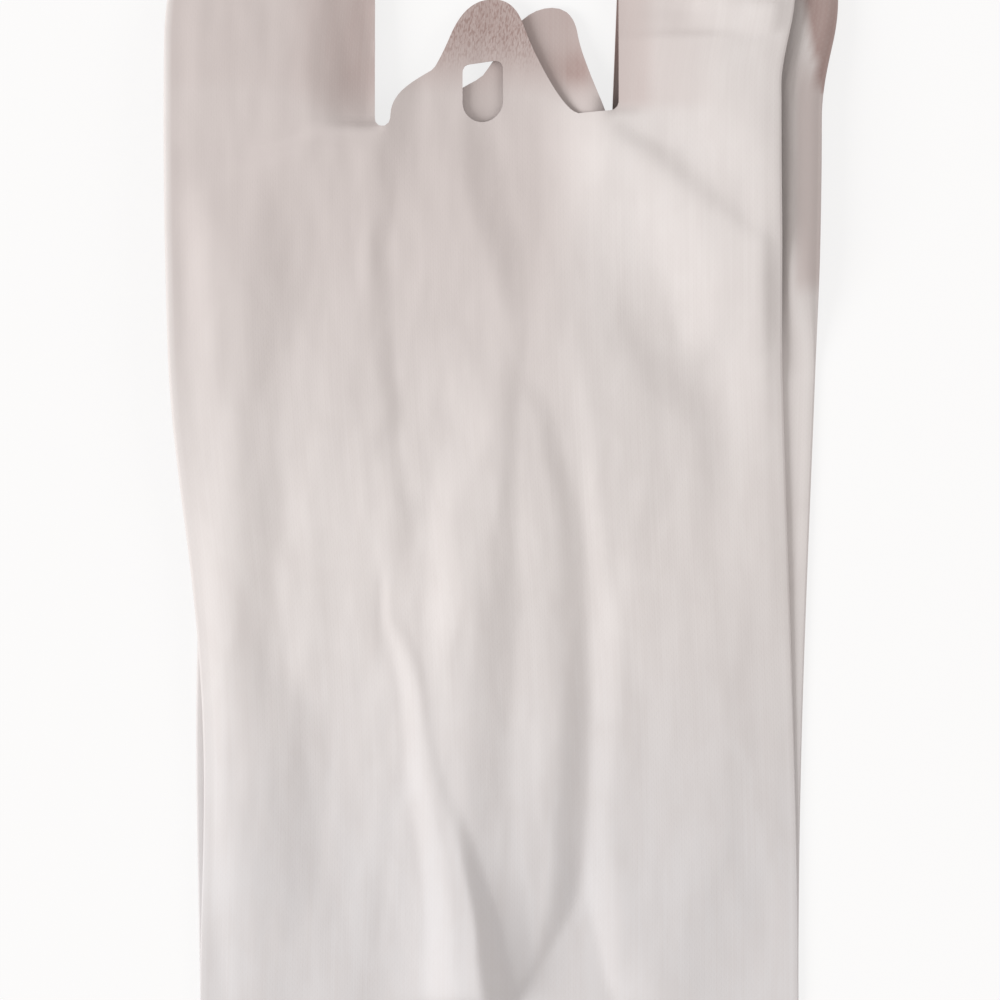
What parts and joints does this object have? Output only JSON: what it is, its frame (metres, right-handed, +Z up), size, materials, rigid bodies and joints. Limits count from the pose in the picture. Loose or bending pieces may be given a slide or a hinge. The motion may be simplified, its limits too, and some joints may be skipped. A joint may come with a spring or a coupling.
{
  "type": "non-woven shopping bag",
  "caption": "Empty vest-type carrier bag of thin white non-woven fabric with folded side gussets, handle straps and a die-cut hang tab on each panel, lying on its back panel.",
  "frame": {"origin": "middle of the lying bag's outline, on the floor under its back panel", "axes": "+Y up the bag from the bottom weld to the handle tops, +X to the right as the front panel is seen, +Z up from the floor out of the front panel"},
  "size_m": [0.3314, 0.6006, 0.0278],
  "materials": {
    "nonwoven": "matt off-white spunbond non-woven with a fine embossed bond pattern"
  },
  "bodies": {
    "root": {"bag": "nonwoven"}
  },
  "joints": []
}
